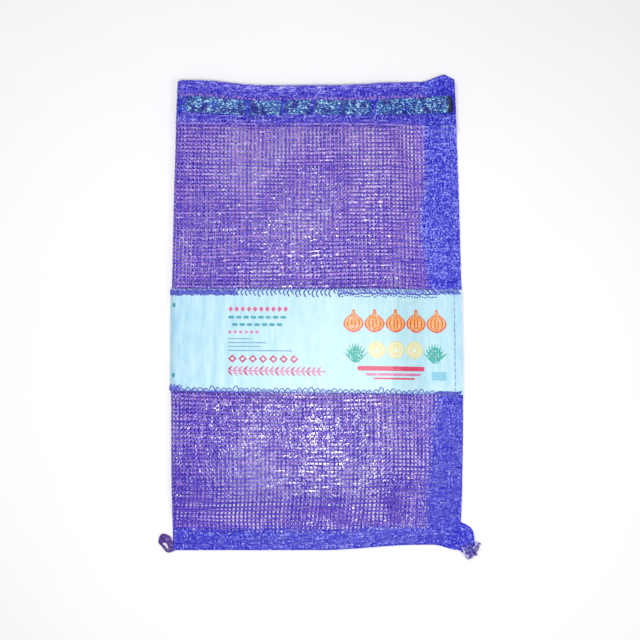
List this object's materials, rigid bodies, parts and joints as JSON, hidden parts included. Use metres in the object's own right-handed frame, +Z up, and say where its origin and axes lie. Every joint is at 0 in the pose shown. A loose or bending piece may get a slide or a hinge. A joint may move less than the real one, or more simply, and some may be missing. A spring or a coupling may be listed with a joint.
{
  "type": "mesh drawstring bag",
  "caption": "Flat empty net produce bag with an open mouth, a drawstring tape in its hem, a label band sewn round its middle, a side fold and sewn side and foot seams.",
  "frame": {"origin": "under the middle of the bag's overall box, on the surface it lies on", "axes": "+Z up out of the printed side, +Y towards the mouth, +X towards the side seam"},
  "size_m": [0.316, 0.488, 0.0146],
  "materials": {
    "net": "open leno weave of glossy polypropylene tape",
    "label": "woven polypropylene, printed",
    "drawstring": "flat woven polypropylene tape",
    "thread": "sewing thread"
  },
  "bodies": {
    "root": {"net_bag": "net", "label_band": "label", "drawstring": "drawstring"}
  },
  "joints": []
}
